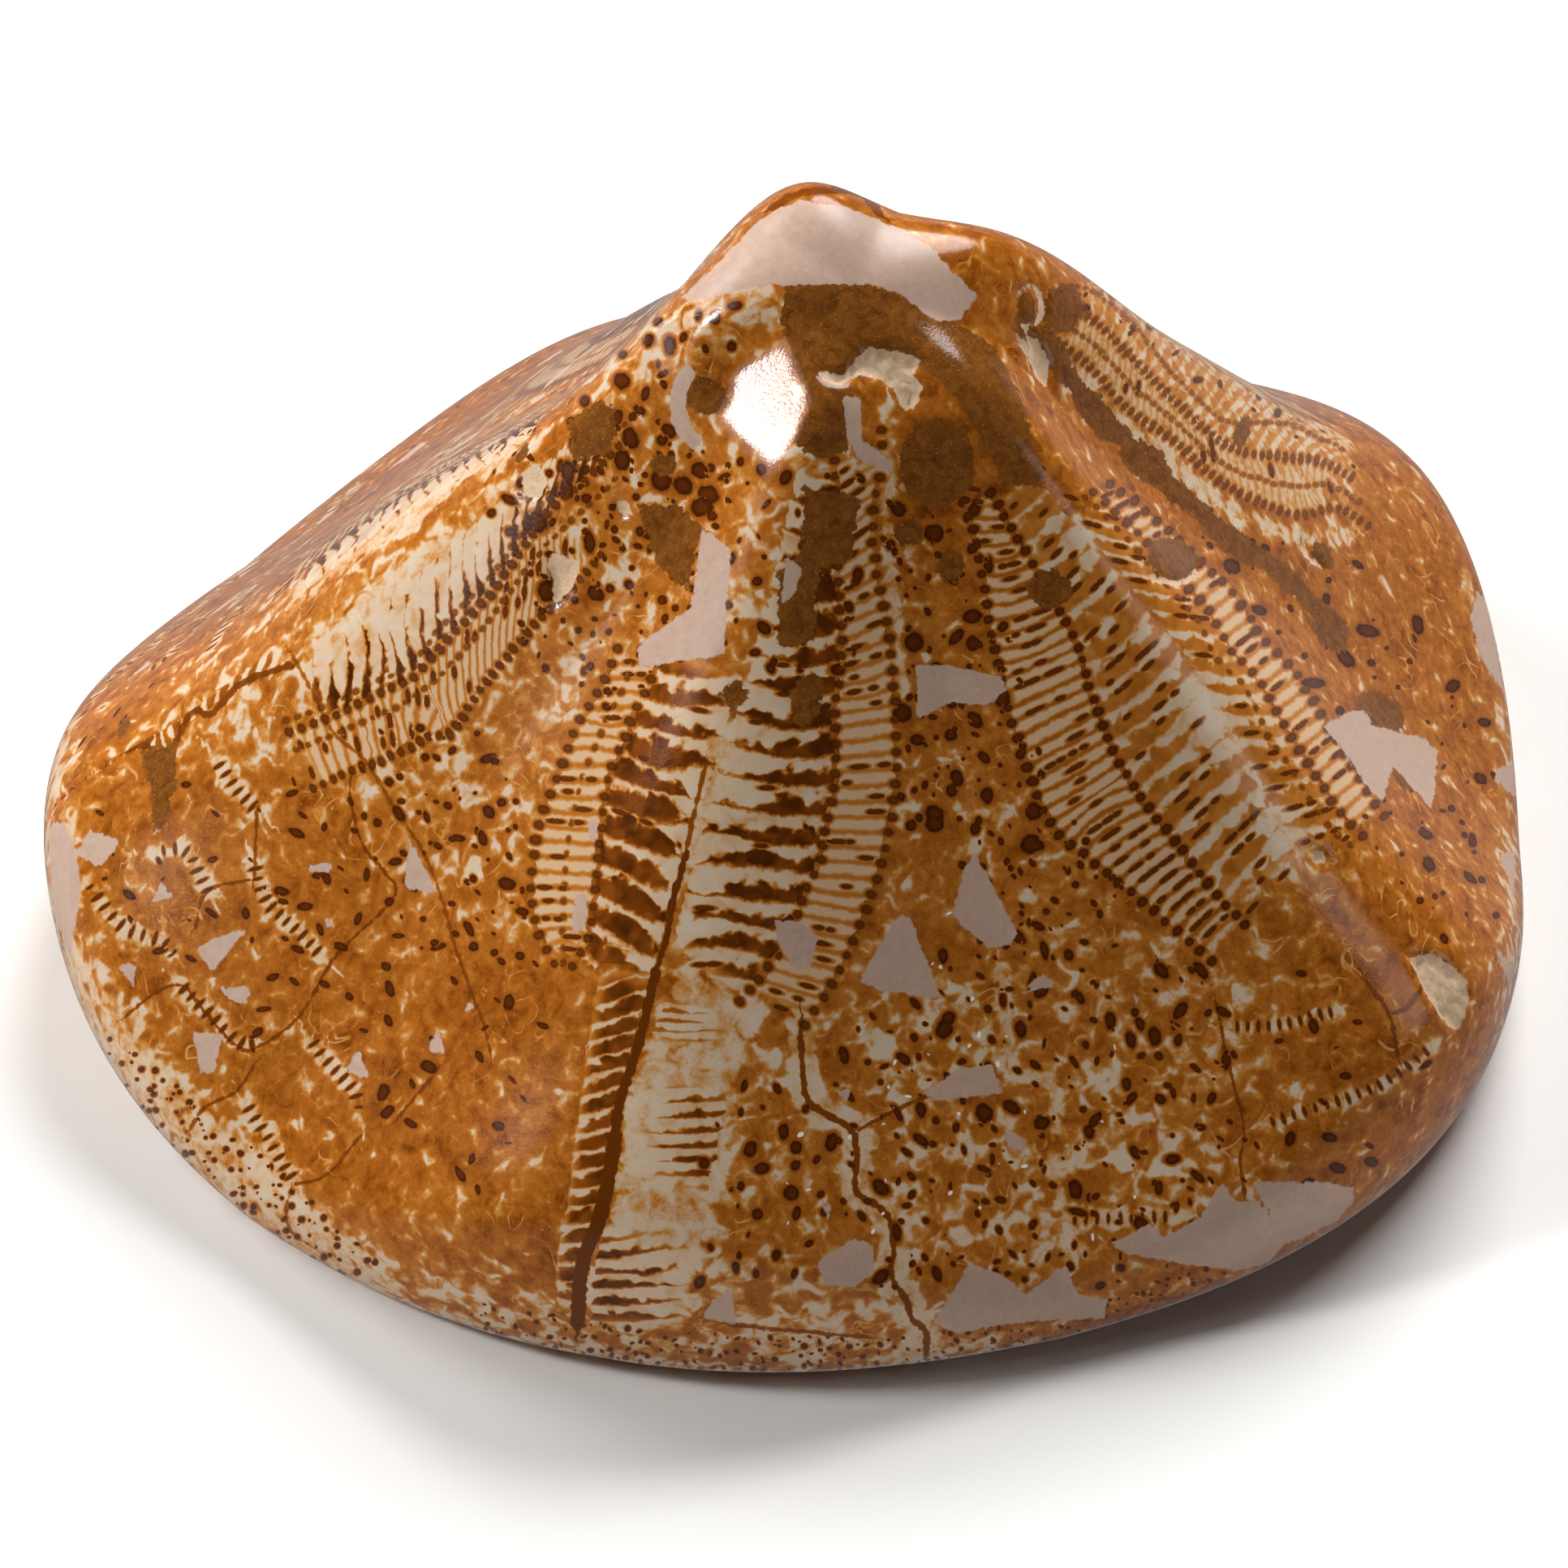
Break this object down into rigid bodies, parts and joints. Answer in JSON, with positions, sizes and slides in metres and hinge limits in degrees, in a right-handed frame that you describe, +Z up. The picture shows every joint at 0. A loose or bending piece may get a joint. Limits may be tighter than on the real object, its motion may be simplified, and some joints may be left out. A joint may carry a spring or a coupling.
{
  "type": "fossil sea urchin",
  "caption": "Tall bell-shaped fossil sea urchin, cut and polished, with raised petals running from its summit to a thick rounded margin and a flat sole to rest on.",
  "frame": {"origin": "on the sole, under the middle of the box", "axes": "+Z up from the sole to the summit, -Y to the front, +X to the right"},
  "size_m": [0.1203, 0.1141, 0.0721],
  "materials": {
    "polished_stone": "polished ochre and cream calcite"
  },
  "bodies": {
    "root": {"sea_urchin": "polished_stone"}
  },
  "joints": []
}
